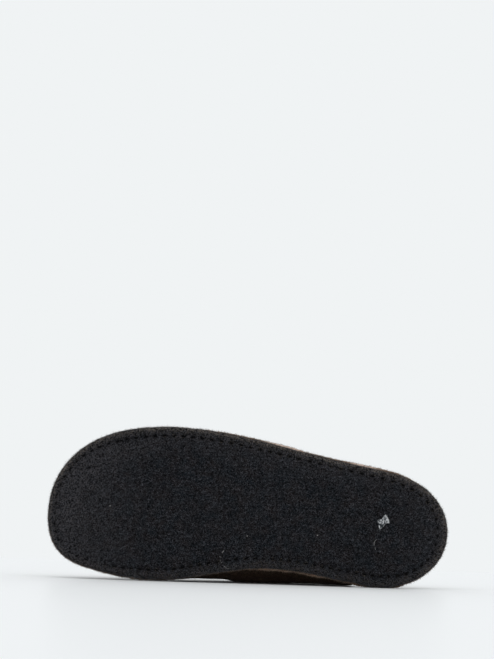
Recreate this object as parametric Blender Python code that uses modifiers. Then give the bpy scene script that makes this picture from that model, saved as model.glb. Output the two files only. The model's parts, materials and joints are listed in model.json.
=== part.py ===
"""Left mule slipper: stitched felt sole, midsole, footbed and a hollow felt upper, lying on its inner side.

The shoe is modelled standing: x runs from the back of the heel to the toe, y to the outer side and z up,
in millimetres. One empty then lays it down with the tread towards -Y and the toe towards -X.
"""
import math

import bmesh
import bpy
import numpy as np
from mathutils import Euler, Vector

MM = 0.001
OBJECT_NAME = "mule_slipper"

# Sole outline: heel and toe tips, and a row for each section with the distance of both edges from the
# straight line that runs forward from the middle of the heel
SOLE_LENGTH = 280.0
HEEL_TIP_Y = 0.5
TOE_TIP_Y = 5.5
OUTLINE_COLUMNS = ("station", "outer", "inner")
OUTLINE_ROWS = (
    (8.0, 22.0, -23.8),
    (26.0, 36.0, -37.0),
    (55.0, 43.8, -39.7),
    (90.0, 50.7, -34.0),
    (125.0, 58.8, -30.1),
    (160.0, 65.6, -34.1),
    (192.0, 68.6, -39.7),
    (222.0, 66.2, -39.2),
    (248.0, 57.6, -33.5),
    (265.0, 45.1, -27.0),
    (276.0, 28.0, -15.6),
)
SIDE_POINTS = 44

# Toe spring: the sole lifts along a parabola in front of the ball
TOE_SPRING = 8.0
SPRING_START = 190.0

# Layers of the sole
LAYER_GAP = 0.3
OUTSOLE_THICKNESS = 5.0
OUTSOLE_EDGE_RADIUS = 1.2
MIDSOLE_THICKNESS = 3.0
MIDSOLE_EDGE_RADIUS = 0.6
MIDSOLE_PROUD = 1.5
PROUD_HEEL = (4.0, 40.0)
PROUD_BALL = (135.0, 185.0)
INSOLE_THICKNESS = 4.5
INSOLE_EDGE_RADIUS = 1.5

# The seam lies nearer the edge at the toe than along the sides and the heel
SEAM_INSET_SIDE = 6.3
SEAM_INSET_TOE = 4.2
SEAM_TOE_START = 215.0
SEAM_TOE_END = 268.0
SEAM_TROUGH_HALF = 1.8
SEAM_TROUGH_DEPTH = 0.7

# Footbed: a low cup round the heel and a rise under the arch
CUP_RISE = 3.5
CUP_FADE_START = 45.0
CUP_FADE_END = 125.0
ARCH_RISE = 4.0
ARCH_STATION = 120.0
ARCH_REACH = 38.0
CUP_RINGS = ((5.0, 0.80), (11.0, 0.42), (18.0, 0.14))
INSOLE_CLEAR_UPPER = 1.6
INSOLE_CLEAR_SEAM = 2.2
INSOLE_WIDEN_START = 32.0
INSOLE_WIDEN_END = 56.0

# Upper: felt wall, turned-out margin, wings, throat and the ridge along the top of the foot
WALL = 3.0
MARGIN_BEHIND_SEAM = 2.2
MARGIN_EDGE_INSET = 1.0
MARGIN_BEND = 3.0
BEND_SHARES = (0.25, 0.5, 0.75)
WING_END = 64.0
THROAT_STATION = 158.0
COLLAR_COLUMNS = ("station", "forward", "reach")
COLLAR_ROWS = (
    (0.00, 0.00, 0.05),
    (0.10, 0.02, 0.12),
    (0.25, 0.14, 0.185),
    (0.45, 0.40, 0.245),
    (0.65, 0.70, 0.38),
    (0.85, 0.935, 0.72),
    (1.00, 1.00, 1.00),
)
RIDGE_COLUMNS = ("station", "height", "side")
RIDGE_ROWS = (
    (100.0, 93.0, -1.0),
    (130.0, 87.0, 0.0),
    (158.0, 77.0, 1.0),
    (180.0, 67.5, 2.0),
    (200.0, 59.0, 3.0),
    (220.0, 51.5, 4.5),
    (238.0, 45.5, 6.0),
)
WALL_COLUMNS = ("station", "outer_bulge", "inner_bulge", "rise", "shoulder")
WALL_ROWS = (
    (64.0, 9.0, 17.0, 0.75, 0.50),
    (95.0, 9.0, 28.0, 0.78, 0.50),
    (125.0, 9.0, 35.0, 0.75, 0.50),
    (160.0, 8.0, 25.0, 0.60, 0.50),
    (200.0, 7.0, 8.0, 0.52, 0.52),
    (245.0, 6.0, 5.0, 0.54, 0.55),
    (280.0, 5.0, 5.0, 0.55, 0.58),
)
WING_RIBS = 24
FRONT_RIBS = 22
RIB_ROWS = 14

# Search limits: steps of the searches, the weld along the ridge and the furthest the shoe may lean
CLOSE_ENOUGH = 1e-7
WELD = 0.01
MOST_LEAN = math.radians(30.0)
HOLDER_SIZE = 0.02

# Colours and surface of each piece: red, green, blue, roughness
FINISHES = {
    "outsole": (0.014, 0.014, 0.016, 0.95),
    "midsole": (0.150, 0.105, 0.080, 0.85),
    "insole": (0.165, 0.118, 0.090, 0.92),
    "upper": (0.130, 0.088, 0.066, 0.95),
}


def clear_scene():
    """Remove every object of the start-up scene."""
    for thing in list(bpy.data.objects):
        bpy.data.objects.remove(thing, do_unlink=True)


def column(rows, columns, name):
    """One named column of a table as an array."""
    return np.array([row[columns.index(name)] for row in rows])


def smooth_step(value, start, end):
    """Ease from 0 at start to 1 at end."""
    share = np.clip((value - start) / (end - start), 0.0, 1.0)
    return share * share * (3.0 - 2.0 * share)


def spline_slopes(stations, values):
    """Slopes of a natural cubic spline through the rows of a table."""
    count = len(stations)
    system = np.zeros((count, count))
    right = np.zeros(count)
    steps = np.diff(stations)
    rates = np.diff(values) / steps
    system[0, :2] = (2.0, 1.0)
    system[-1, -2:] = (1.0, 2.0)
    right[0] = 3.0 * rates[0]
    right[-1] = 3.0 * rates[-1]
    for row in range(1, count - 1):
        before = 1.0 / steps[row - 1]
        after = 1.0 / steps[row]
        system[row, row - 1:row + 2] = (before, 2.0 * (before + after), after)
        right[row] = 3.0 * (rates[row - 1] * before + rates[row] * after)
    return np.linalg.solve(system, right)


def along(rows, columns, name, station):
    """Value and slope of a table column at a station, on a smooth curve through its rows."""
    stations = column(rows, columns, "station")
    values = column(rows, columns, name)
    slopes = spline_slopes(stations, values)
    row = int(np.clip(np.searchsorted(stations, station) - 1, 0, len(stations) - 2))
    step = stations[row + 1] - stations[row]
    share = np.clip((station - stations[row]) / step, 0.0, 1.0)
    rate = (values[row + 1] - values[row]) / step
    bend = slopes[row] + slopes[row + 1] - 2.0 * rate
    lift = 3.0 * rate - 2.0 * slopes[row] - slopes[row + 1]
    value = values[row] + step * share * (slopes[row] + share * (lift + share * bend))
    slope = slopes[row] + share * (2.0 * lift + 3.0 * share * bend)
    return value, slope


class Outline:
    """Closed smooth curve through the tips and both columns of the outline table."""

    def __init__(self):
        stations = column(OUTLINE_ROWS, OUTLINE_COLUMNS, "station")
        outer = list(zip(stations, column(OUTLINE_ROWS, OUTLINE_COLUMNS, "outer")))
        inner = list(zip(stations, column(OUTLINE_ROWS, OUTLINE_COLUMNS, "inner")))
        points = [(0.0, HEEL_TIP_Y)] + outer + [(SOLE_LENGTH, TOE_TIP_Y)] + inner[::-1]
        self.points = np.array(points)
        self.chords = np.linalg.norm(np.roll(self.points, -1, axis=0) - self.points, axis=1)
        self.knots = np.concatenate(([0.0], np.cumsum(self.chords)))
        self.toe = self.knots[len(outer) + 1]
        self.total = self.knots[-1]
        count = len(points)
        system = np.zeros((count, count))
        right = np.zeros((count, 2))
        for row in range(count):
            after = (row + 1) % count
            system[row, row - 1] += self.chords[row - 1]
            system[row, row] += 2.0 * (self.chords[row - 1] + self.chords[row])
            system[row, after] += self.chords[row]
            forward = (self.points[after] - self.points[row]) / self.chords[row]
            behind = (self.points[row] - self.points[row - 1]) / self.chords[row - 1]
            right[row] = 6.0 * (forward - behind)
        self.bends = np.linalg.solve(system, right)

    def at(self, distance):
        """Point of the outline and its outward direction at a distance round from the heel tip."""
        distance = distance % self.total
        row = int(np.clip(np.searchsorted(self.knots, distance, side="right") - 1, 0, len(self.points) - 1))
        after = (row + 1) % len(self.points)
        chord = self.chords[row]
        ahead = distance - self.knots[row]
        left = chord - ahead
        start = self.points[row] / chord - self.bends[row] * chord / 6.0
        end = self.points[after] / chord - self.bends[after] * chord / 6.0
        cubic = (self.bends[row] * left ** 3 + self.bends[after] * ahead ** 3) / (6.0 * chord)
        point = cubic + start * left + end * ahead
        pull = (self.bends[after] * ahead ** 2 - self.bends[row] * left ** 2) / (2.0 * chord)
        direction = pull - start + end
        outward = np.array((-direction[1], direction[0])) / np.linalg.norm(direction)
        return point, outward

    def on_side(self, side, share):
        """Distance round to a share of the way from heel tip to toe tip along one side."""
        if side == "outer":
            return self.toe * share
        return self.total - (self.total - self.toe) * share

    def share_at(self, side, station):
        """Share of the way from heel to toe at which one side reaches a station."""
        low = 0.0
        high = 1.0
        while high - low > CLOSE_ENOUGH:
            middle = 0.5 * (low + high)
            if self.at(self.on_side(side, middle))[0][0] < station:
                low = middle
            else:
                high = middle
        return low


OUTLINE = Outline()


def toe_lift(station):
    """Height of the toe spring at a station."""
    ahead = max(0.0, station - SPRING_START) / (SOLE_LENGTH - SPRING_START)
    return TOE_SPRING * ahead * ahead


def seam_inset(station, side):
    """Distance of the seam from the sole's edge, the same on both sides."""
    toe_share = smooth_step(station, SEAM_TOE_START, SEAM_TOE_END)
    return SEAM_INSET_SIDE + (SEAM_INSET_TOE - SEAM_INSET_SIDE) * toe_share


def midsole_inset(station, side):
    """The midsole stands a little proud of the outsole along the outer side, from heel to ball."""
    if side == "inner":
        return 0.0
    return -MIDSOLE_PROUD * smooth_step(station, *PROUD_HEEL) * (1.0 - smooth_step(station, *PROUD_BALL))


def margin_inset(station, side):
    """Distance of the foot of the upper's wall from the sole's edge."""
    return seam_inset(station, side) + MARGIN_BEHIND_SEAM


def insole_inset(station, side):
    """Distance of the footbed's edge from the sole's edge: clear of the seam behind, of the wall in front."""
    behind = seam_inset(station, side) + INSOLE_CLEAR_SEAM
    inside = margin_inset(station, side) + WALL + INSOLE_CLEAR_UPPER
    return behind + (inside - behind) * smooth_step(station, INSOLE_WIDEN_START, INSOLE_WIDEN_END)


def ring(inset, height):
    """Points round the sole: inset and height are numbers or functions of station and side."""
    points = []
    for side, shares in (("outer", range(SIDE_POINTS)), ("inner", range(SIDE_POINTS, 0, -1))):
        for step in shares:
            edge, outward = OUTLINE.at(OUTLINE.on_side(side, step / SIDE_POINTS))
            station = edge[0]
            inward = inset(station, side) if callable(inset) else inset
            level = height(station, side) if callable(height) else height
            place = edge - outward * inward
            points.append(Vector((place[0], place[1], level + toe_lift(place[0]))))
    return points


def mesh_object(name, bm, collection):
    """Finish a bmesh as a smooth-shaded object in metres."""
    bmesh.ops.scale(bm, vec=(MM, MM, MM), verts=bm.verts)
    bmesh.ops.recalc_face_normals(bm, faces=bm.faces)
    mesh = bpy.data.meshes.new(name)
    bm.to_mesh(mesh)
    bm.free()
    mesh.shade_smooth()
    made = bpy.data.objects.new(name, mesh)
    collection.objects.link(made)
    red, green, blue, roughness = FINISHES[name]
    material = bpy.data.materials.new(name + "_felt")
    material.use_nodes = True
    surface = material.node_tree.nodes["Principled BSDF"]
    surface.inputs["Base Color"].default_value = (red, green, blue, 1.0)
    surface.inputs["Roughness"].default_value = roughness
    surface.inputs["Metallic"].default_value = 0.0
    mesh.materials.append(material)
    return made


def loft(name, rings, collection):
    """Solid through rings of equal count, its two ends closed by strips from side to side."""
    bm = bmesh.new()
    loops = [[bm.verts.new(point) for point in points] for points in rings]
    count = len(loops[0])
    for lower, upper in zip(loops, loops[1:]):
        for here in range(count):
            after = (here + 1) % count
            bm.faces.new((lower[here], lower[after], upper[after], upper[here]))
    for end in (loops[0], loops[-1]):
        bm.faces.new((end[0], end[1], end[-1]))
        for step in range(1, SIDE_POINTS - 1):
            bm.faces.new((end[step], end[step + 1], end[-step - 1], end[-step]))
        bm.faces.new((end[SIDE_POINTS - 1], end[SIDE_POINTS], end[SIDE_POINTS + 1]))
    return mesh_object(name, bm, collection)


def make_outsole(collection):
    """Felt outsole: flat tread, seam trough, rounded lower edge and plain side."""
    radius = OUTSOLE_EDGE_RADIUS
    half = math.sqrt(0.5)
    top = OUTSOLE_THICKNESS
    rings = [
        ring(lambda station, side: seam_inset(station, side) + SEAM_TROUGH_HALF, 0.0),
        ring(seam_inset, SEAM_TROUGH_DEPTH),
        ring(lambda station, side: seam_inset(station, side) - SEAM_TROUGH_HALF, 0.0),
        ring(radius, 0.0),
        ring(radius * (1.0 - half), radius * (1.0 - half)),
        ring(0.0, radius),
        ring(0.0, top),
    ]
    return loft("outsole", rings, collection)


def make_midsole(collection):
    """Thin layer of the sole's outline with its edges just broken."""
    low = OUTSOLE_THICKNESS + LAYER_GAP
    high = low + MIDSOLE_THICKNESS
    radius = MIDSOLE_EDGE_RADIUS
    rings = [
        ring(lambda station, side: midsole_inset(station, side) + radius, low),
        ring(midsole_inset, low + radius),
        ring(midsole_inset, high - radius),
        ring(lambda station, side: midsole_inset(station, side) + radius, high),
    ]
    return loft("midsole", rings, collection)


def sole_top():
    """Height of the midsole's top face."""
    return OUTSOLE_THICKNESS + LAYER_GAP + MIDSOLE_THICKNESS


def margin_top(station):
    """Height of the upper's turned-out margin."""
    return sole_top() + LAYER_GAP + WALL + toe_lift(station)


def footbed_rise(station, side, share):
    """Rise of the footbed near its edge: round the heel and, on the inner side, under the arch."""
    rise = CUP_RISE * (1.0 - smooth_step(station, CUP_FADE_START, CUP_FADE_END))
    if side == "inner":
        rise += ARCH_RISE * math.exp(-((station - ARCH_STATION) / ARCH_REACH) ** 2)
    return rise * share


def make_insole(collection):
    """Footbed: flat below, rounded edge, low cup round the heel."""
    low = sole_top() + LAYER_GAP
    thick = low + INSOLE_THICKNESS
    radius = INSOLE_EDGE_RADIUS
    rings = [
        ring(insole_inset, low),
        ring(insole_inset, lambda station, side: thick - radius + footbed_rise(station, side, 1.0)),
    ]
    for inward, share in ((radius, 1.0),) + CUP_RINGS:
        rings.append(ring(
            lambda station, side, inward=inward: insole_inset(station, side) + inward,
            lambda station, side, share=share: thick + footbed_rise(station, side, share),
        ))
    return loft("insole", rings, collection)


def rib_frame(side, share):
    """Four control points of one rib, from the foot of the wall to the ridge."""
    start = OUTLINE.share_at(side, WING_END)
    edge, outward = OUTLINE.at(OUTLINE.on_side(side, start + (1.0 - start) * share))
    foot = edge - outward * margin_inset(edge[0], side)
    foot_height = margin_top(foot[0])
    back = RIDGE_ROWS[0][0]
    front = RIDGE_ROWS[-1][0]
    station = back + (front - back) * share
    height, slope = along(RIDGE_ROWS, RIDGE_COLUMNS, "height", station)
    ridge_side, _ = along(RIDGE_ROWS, RIDGE_COLUMNS, "side", station)
    bulge, _ = along(WALL_ROWS, WALL_COLUMNS, side + "_bulge", edge[0])
    rise, _ = along(WALL_ROWS, WALL_COLUMNS, "rise", edge[0])
    shoulder, _ = along(WALL_ROWS, WALL_COLUMNS, "shoulder", edge[0])
    first = np.array((foot[0], foot[1], foot_height))
    last = np.array((station, ridge_side, height))
    second = first + np.array((outward[0] * bulge, outward[1] * bulge, (height - foot_height) * rise))
    third = last + (first - last) * shoulder
    third[2] = height + slope * (third[0] - station)
    return first, second, third, last


def rib_point(side, share, climb):
    """Point of the upper's outer face: share along the foot line, climb from the foot to the ridge."""
    first, second, third, last = rib_frame(side, share)
    rest = 1.0 - climb
    lower = rest ** 3 * first + 3.0 * rest * rest * climb * second
    return lower + 3.0 * rest * climb * climb * third + climb ** 3 * last


def margin_line(side, share):
    """Turned-out margin of one rib: its edge, the start of the bend, the bend, and the climb where it ends."""
    start = OUTLINE.share_at(side, WING_END)
    edge, outward = OUTLINE.at(OUTLINE.on_side(side, start + (1.0 - start) * share))
    line = []
    for inset in (MARGIN_EDGE_INSET, margin_inset(edge[0], side) - MARGIN_BEND):
        place = edge - outward * inset
        line.append(np.array((place[0], place[1], margin_top(place[0]))))
    first, second, _, _ = rib_frame(side, share)
    climb = MARGIN_BEND / (3.0 * np.linalg.norm(second - first))
    begin = line[1]
    finish = rib_point(side, share, climb)
    for turn in BEND_SHARES:
        left = 1.0 - turn
        line.append(left * left * begin + 2.0 * left * turn * first + turn * turn * finish)
    return line, climb


def rib_ends():
    """For each rib its share at the foot, its share at the top and its reach up towards the ridge."""
    back = RIDGE_ROWS[0][0]
    front = RIDGE_ROWS[-1][0]
    throat = (THROAT_STATION - back) / (front - back)
    ends = []
    for step in range(WING_RIBS):
        part = step / WING_RIBS
        forward, _ = along(COLLAR_ROWS, COLLAR_COLUMNS, "forward", part)
        reach, _ = along(COLLAR_ROWS, COLLAR_COLUMNS, "reach", part)
        ends.append((throat * part, throat * forward, reach))
    for step in range(FRONT_RIBS + 1):
        share = throat + (1.0 - throat) * step / FRONT_RIBS
        ends.append((share, share, 1.0))
    return ends


def make_upper(collection):
    """Felt upper as one open face with a wall of even thickness grown inwards."""
    bm = bmesh.new()
    for side in ("outer", "inner"):
        ribs = []
        for share, top_share, reach in rib_ends():
            line, climb = margin_line(side, share)
            for step in range(RIB_ROWS + 1):
                part = step / RIB_ROWS
                here = share + (top_share - share) * part
                line.append(rib_point(side, here, climb + (reach - climb) * part))
            ribs.append([bm.verts.new(Vector(point)) for point in line])
        for first, second in zip(ribs, ribs[1:]):
            for step in range(len(first) - 1):
                bm.faces.new((first[step], second[step], second[step + 1], first[step + 1]))
    bmesh.ops.remove_doubles(bm, verts=bm.verts, dist=WELD)
    made = mesh_object("upper", bm, collection)
    crown = max(made.data.polygons, key=lambda polygon: polygon.center.z)
    if crown.normal.z < 0.0:
        made.data.flip_normals()
    wall = made.modifiers.new("wall", "SOLIDIFY")
    wall.thickness = WALL * MM
    wall.offset = -1.0
    wall.use_even_offset = True
    wall.use_rim = True
    return made


def solid_points(made):
    """Points of a piece with its modifiers, still standing."""
    graph = bpy.context.evaluated_depsgraph_get()
    shape = made.evaluated_get(graph)
    mesh = shape.to_mesh()
    points = np.array([vertex.co[:] for vertex in mesh.vertices])
    shape.to_mesh_clear()
    return points


def lay_down(pieces):
    """Lean the shoe back on its inner edge until the upper's wing meets the floor too."""
    bpy.context.view_layer.update()
    clouds = {piece.name: solid_points(piece) for piece in pieces}
    upper = clouds["upper"]
    sole = np.concatenate((clouds["outsole"], clouds["midsole"]))

    def lowest(points, lean):
        return float(np.min(points[:, 1] * math.cos(lean) - points[:, 2] * math.sin(lean)))

    low = 0.0
    high = MOST_LEAN
    while high - low > CLOSE_ENOUGH:
        lean = 0.5 * (low + high)
        if lowest(upper, lean) > lowest(sole, lean):
            low = lean
        else:
            high = lean
    turn = Euler((math.radians(90.0) + low, 0.0, math.radians(180.0)), "XYZ")
    spun = np.concatenate(list(clouds.values())) @ np.array(turn.to_matrix()).T
    least = spun.min(axis=0)
    most = spun.max(axis=0)
    holder = bpy.data.objects.new("lying_on_side", None)
    holder.empty_display_size = HOLDER_SIZE
    holder.rotation_euler = turn
    holder.location = (-(least[0] + most[0]) / 2.0, -(least[1] + most[1]) / 2.0, -least[2])
    bpy.context.scene.collection.objects.link(holder)
    for piece in pieces:
        piece.parent = holder


def main():
    clear_scene()
    collection = bpy.data.collections.new(OBJECT_NAME)
    bpy.context.scene.collection.children.link(collection)
    pieces = [
        make_outsole(collection),
        make_midsole(collection),
        make_insole(collection),
        make_upper(collection),
    ]
    lay_down(pieces)


main()
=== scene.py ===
import json
import math

import bpy
import numpy as np
from mathutils import Euler, Matrix, Vector
from mathutils.kdtree import KDTree


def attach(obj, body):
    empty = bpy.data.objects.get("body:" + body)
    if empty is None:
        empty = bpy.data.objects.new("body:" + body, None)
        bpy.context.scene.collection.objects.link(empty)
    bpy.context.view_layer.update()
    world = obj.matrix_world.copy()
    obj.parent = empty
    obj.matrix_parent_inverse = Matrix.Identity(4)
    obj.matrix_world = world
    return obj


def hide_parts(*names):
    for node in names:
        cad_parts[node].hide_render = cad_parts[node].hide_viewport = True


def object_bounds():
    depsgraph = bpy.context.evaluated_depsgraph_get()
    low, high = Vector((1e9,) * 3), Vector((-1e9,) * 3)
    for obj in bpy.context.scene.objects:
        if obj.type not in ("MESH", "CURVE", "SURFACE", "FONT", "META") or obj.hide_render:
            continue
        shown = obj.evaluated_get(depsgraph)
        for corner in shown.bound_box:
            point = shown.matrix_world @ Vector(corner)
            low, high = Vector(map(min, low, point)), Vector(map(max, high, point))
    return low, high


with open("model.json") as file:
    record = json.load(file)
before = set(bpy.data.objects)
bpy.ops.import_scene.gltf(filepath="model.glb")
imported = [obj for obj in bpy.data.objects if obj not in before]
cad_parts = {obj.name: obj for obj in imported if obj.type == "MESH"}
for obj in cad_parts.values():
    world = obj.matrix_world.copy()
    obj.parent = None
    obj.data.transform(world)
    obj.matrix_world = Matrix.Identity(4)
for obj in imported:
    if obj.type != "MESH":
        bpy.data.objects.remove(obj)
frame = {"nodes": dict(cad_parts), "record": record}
cad_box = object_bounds()

# Outsole: black needle felt 5 mm thick, stamped out to the shape of the foot. It is sewn through once round
# its margin, so the seam lies in a shallow trough with a pit at each stitch. Wear has rounded its lower edge.
MM = 0.001
SOLE_LENGTH = 280.0
HEEL_TIP = (0.0, 0.5)
TOE_TIP = (SOLE_LENGTH, 5.5)
# The sole's outline: station, outer side, inner side
OUTLINE_ROWS = (
    (8.0, 22.0, -23.8),
    (26.0, 36.0, -37.0),
    (55.0, 43.8, -39.7),
    (90.0, 50.7, -34.0),
    (125.0, 58.8, -30.1),
    (160.0, 65.6, -34.1),
    (192.0, 68.6, -39.7),
    (222.0, 66.2, -39.2),
    (248.0, 57.6, -33.5),
    (265.0, 45.1, -27.0),
    (276.0, 28.0, -15.6),
)
EDGE_SAMPLES = 2400
TOE_SPRING = 8.0
SPRING_START = 190.0
SEAM_INSET_SIDE = 6.3
SEAM_INSET_TOE = 4.2
SEAM_TOE_RANGE = (215.0, 268.0)
# Where the hand-run seam strays inwards from its even line: share of the way round, from the heel tip along
# the outer side, and how far
SEAM_WANDER_ROWS = (
    (0.000, 0.9), (0.021, 0.6), (0.044, 0.2), (0.078, 0.5), (0.117, 0.0), (0.177, -0.2), (0.207, 0.4),
    (0.230, 0.7), (0.314, 1.1), (0.417, 1.3), (0.473, 0.8), (0.556, 0.9), (0.576, 1.0), (0.591, 0.1),
    (0.608, -0.4), (0.635, 0.6), (0.674, 0.9), (0.725, 1.5), (0.750, 1.1), (0.778, 0.5), (0.829, 0.4),
    (0.867, 1.1), (0.899, 1.3), (0.933, 0.4), (0.959, 0.1), (0.980, 0.9),
)
# How far round every eighth stitch comes, and where the round closes. Stitches are longer on the outer side
# than on the inner: number, share
STITCH_ROWS = (
    (0, 0.0032), (8, 0.0990), (16, 0.1886), (24, 0.2735), (32, 0.3570), (40, 0.4415), (48, 0.5298),
    (56, 0.6138), (64, 0.6891), (72, 0.7648), (80, 0.8335), (88, 0.9059), (97, 1.0032),
)
FELT_VOXEL = 1.05
SEAM_BAND = 3.4
PIT_DEPTH = 1.6
PIT_SHARE = 0.235
PIT_WIDTH = 1.05
PULL_SPREAD = 0.35
PULL_SEED = 4
SEAM_STEP = 0.5
TOE_SLACK = 0.75
TOE_SLACK_STATIONS = (185.0, 262.0)
HEEL_SLACK = 0.55
HEEL_SLACK_STATIONS = (8.0, 35.0)
HEEL_SLACK_SIDES = (-5.0, 15.0)
TROUGH_DEPTH = 0.25
TROUGH_WIDTH = 2.0
PUFF_HEIGHT = 0.25
PUFF_INSET = 2.6
PUFF_WIDTH = 2.0
TREAD_DEPTH = 1.6
TREAD_FADE = (0.6, 2.4)
OUTER_SIDES = (-10.0, 40.0)
LONG_SIDE_START = (8.0, 30.0)
LONG_SIDE_END = (200.0, 250.0)
EDGE_WORN = 0.45
OUTER_WORN = 0.7
WORN_REACH = (1.0, 6.0)
# How the soft edge of the heel spreads where it comes close to what the shoe lies on
REST_GAP = 0.15
REST_NEAR = 1.0
REST_FAR = 3.0
REST_COLUMN = 1.5
REST_COLUMNS = 7
REST_REACH = (2.0, 12.0)
REST_STATIONS = (75.0, 95.0)
# Soft dents of the tread, worn in by walking: station, side, length, width, depth
TREAD_DENT_ROWS = (
    (205.0, 22.0, 60.0, 34.0, 0.7),
    (214.0, -16.0, 34.0, 20.0, 0.5),
    (42.0, 2.0, 40.0, 28.0, 0.6),
    (128.0, 16.0, 60.0, 30.0, -0.5),
    (246.0, 14.0, 22.0, 34.0, 0.4),
)
# Marks of the tread, as shares of a dark, a pale and a lighter tone: painted shade, a rim that is partly wear
# and partly painted highlight, and painted light with paler patches. Stations run from heel to toe, sides
# from inner to outer, reaches and insets from the edge
OUTER_TOE_STATIONS = (190.0, 225.0)
OUTER_TOE_SIDES = (-20.0, 30.0)
INNER_TOE_STATIONS = (225.0, 262.0)
HEEL_STATIONS = (2.0, 40.0)
PIT_DARK = 1.25
GROOVE_DARK = 0.25
GROOVE_WIDTH = 1.9
TOE_WALL_DARK = 0.5
TOE_WALL_STATIONS = (215.0, 250.0)
TOE_WALL_REACH = (0.3, 1.3)
MARGIN_PALE = 0.18
MARGIN_OUTER_PALE = 0.18
MARGIN_HEEL_PALE = 0.14
MARGIN_TOE_FADE = 0.5
MARGIN_REACH = (2.5, 7.5)
OUTER_RUBBED_AND_LIT = 0.72
OUTER_HEEL_FADE = 0.35
INNER_TOE_RUBBED_AND_LIT = 0.3
INNER_HEEL_RUBBED_AND_LIT = 0.4
RUBBED_AND_LIT_REACH = (0.8, 3.4)
BETWEEN_HIGHLIGHT = 0.3
BETWEEN_OUTER_HIGHLIGHT = 0.6
BETWEEN_STATIONS = (130.0, 240.0)
BETWEEN_WIDTH = 1.3
PIT_CLEAN = 2.0
TOE_BAND_PALE = 0.65
TOE_BAND_INSET = 12.0
TOE_BAND_WIDTH = 9.0
OUTER_BAND_PALE = 0.38
OUTER_BAND_REACH = (9.0, 24.0)
TOE_END_LIGHT = 0.9
TOE_END_LIGHT_STATIONS = (200.0, 276.0)
HEEL_END_LIGHT = 0.3
MOST_PALE = 1.2

tread = frame["record"]["mounts"][0]
tread_lean = math.asin(tread["axis"][2])
lying = Euler((math.radians(90.0) + tread_lean, 0.0, math.radians(180.0))).to_matrix()
TREAD_POINT = Vector((110.0, 8.0, 0.0)) * MM
shoe_origin = np.array(Vector(tread["pos_m"]) - lying @ TREAD_POINT)
shoe_turn = np.array(lying)


def to_shoe(points):
    """Row-frame points in metres as millimetres in the standing shoe: station, side, height."""
    return (np.asarray(points) - shoe_origin) @ shoe_turn / MM


def from_shoe(points):
    """Millimetres in the standing shoe as row-frame points in metres."""
    return np.asarray(points) * MM @ shoe_turn.T + shoe_origin


def ease(value, start, end):
    """Smooth step from 0 at start to 1 at end."""
    share = np.clip((value - start) / (end - start), 0.0, 1.0)
    return share * share * (3.0 - 2.0 * share)


def sole_edge(count):
    """Points round the outline from the heel tip along the outer side, and their outward directions."""
    rows = np.array(OUTLINE_ROWS)
    knots = np.concatenate(([HEEL_TIP], rows[:, :2], [TOE_TIP], rows[::-1, ::2]))
    chords = np.linalg.norm(np.roll(knots, -1, axis=0) - knots, axis=1)
    size = len(knots)
    system = np.zeros((size, size))
    pull = np.zeros((size, 2))
    for row in range(size):
        after = (row + 1) % size
        system[row, row - 1] += chords[row - 1]
        system[row, row] += 2.0 * (chords[row - 1] + chords[row])
        system[row, after] += chords[row]
        pull[row] = 6.0 * ((knots[after] - knots[row]) / chords[row]
                           - (knots[row] - knots[row - 1]) / chords[row - 1])
    bends = np.linalg.solve(system, pull)
    starts = np.concatenate(([0.0], np.cumsum(chords)))
    places = np.linspace(0.0, starts[-1], count, endpoint=False)
    row = np.clip(np.searchsorted(starts, places, side="right") - 1, 0, size - 1)
    after = (row + 1) % size
    chord = chords[row][:, None]
    ahead = (places - starts[row])[:, None]
    left = chord - ahead
    first = knots[row] / chord - bends[row] * chord / 6.0
    last = knots[after] / chord - bends[after] * chord / 6.0
    edge = (bends[row] * left ** 3 + bends[after] * ahead ** 3) / (6.0 * chord) + first * left + last * ahead
    along = (bends[after] * ahead ** 2 - bends[row] * left ** 2) / (2.0 * chord) - first + last
    along /= np.linalg.norm(along, axis=1)[:, None]
    return edge, np.stack((-along[:, 1], along[:, 0]), axis=1)


def seam_inset(station):
    """Distance of the seam from the sole's edge: closer at the toe."""
    return SEAM_INSET_SIDE + (SEAM_INSET_TOE - SEAM_INSET_SIDE) * ease(station, *SEAM_TOE_RANGE)


def toe_lift(station):
    """Height of the toe spring at a station."""
    ahead = np.maximum(0.0, station - SPRING_START) / (SOLE_LENGTH - SPRING_START)
    return TOE_SPRING * ahead * ahead


edge_line, edge_outward = sole_edge(EDGE_SAMPLES)
edge_shares = np.arange(EDGE_SAMPLES + 1) / EDGE_SAMPLES
seam_wander = np.interp(edge_shares[:-1], *np.transpose(SEAM_WANDER_ROWS), period=1.0)
margin_seam = edge_line - edge_outward * seam_inset(edge_line[:, 0])[:, None]
seam_line = margin_seam - edge_outward * seam_wander[:, None]
seam_steps = np.linalg.norm(np.roll(seam_line, -1, axis=0) - seam_line, axis=1)
seam_places = np.concatenate(([0.0], np.cumsum(seam_steps)))
seam_length = seam_places[-1]
stitch_numbers, stitch_shares = np.transpose(STITCH_ROWS)
stitch_count = int(stitch_numbers[-1])
stitch_shares = np.interp(np.arange(stitch_count), stitch_numbers, stitch_shares)
stitch_places = np.interp(stitch_shares, edge_shares, seam_places)
stitch_middles = 0.5 * (stitch_places + np.append(stitch_places[1:], stitch_places[0] + seam_length))
stitch_gaps = np.diff(stitch_middles, prepend=stitch_middles[-1] - seam_length)


def line_tree(line):
    """Search tree over the points of a flat line."""
    tree = KDTree(len(line))
    for index, place in enumerate(line):
        tree.insert((place[0], place[1], 0.0), index)
    tree.balance()
    return tree


def nearest(tree, flat):
    """Index of the nearest line point and the distance to it, for each flat point."""
    found = [tree.find((place[0], place[1], 0.0)) for place in flat]
    return np.array([hit[1] for hit in found]), np.array([hit[2] for hit in found])


def only(piece):
    """Deselect everything, then select one piece and make it active."""
    bpy.ops.object.select_all(action="DESELECT")
    piece.select_set(True)
    bpy.context.view_layer.objects.active = piece


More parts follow.
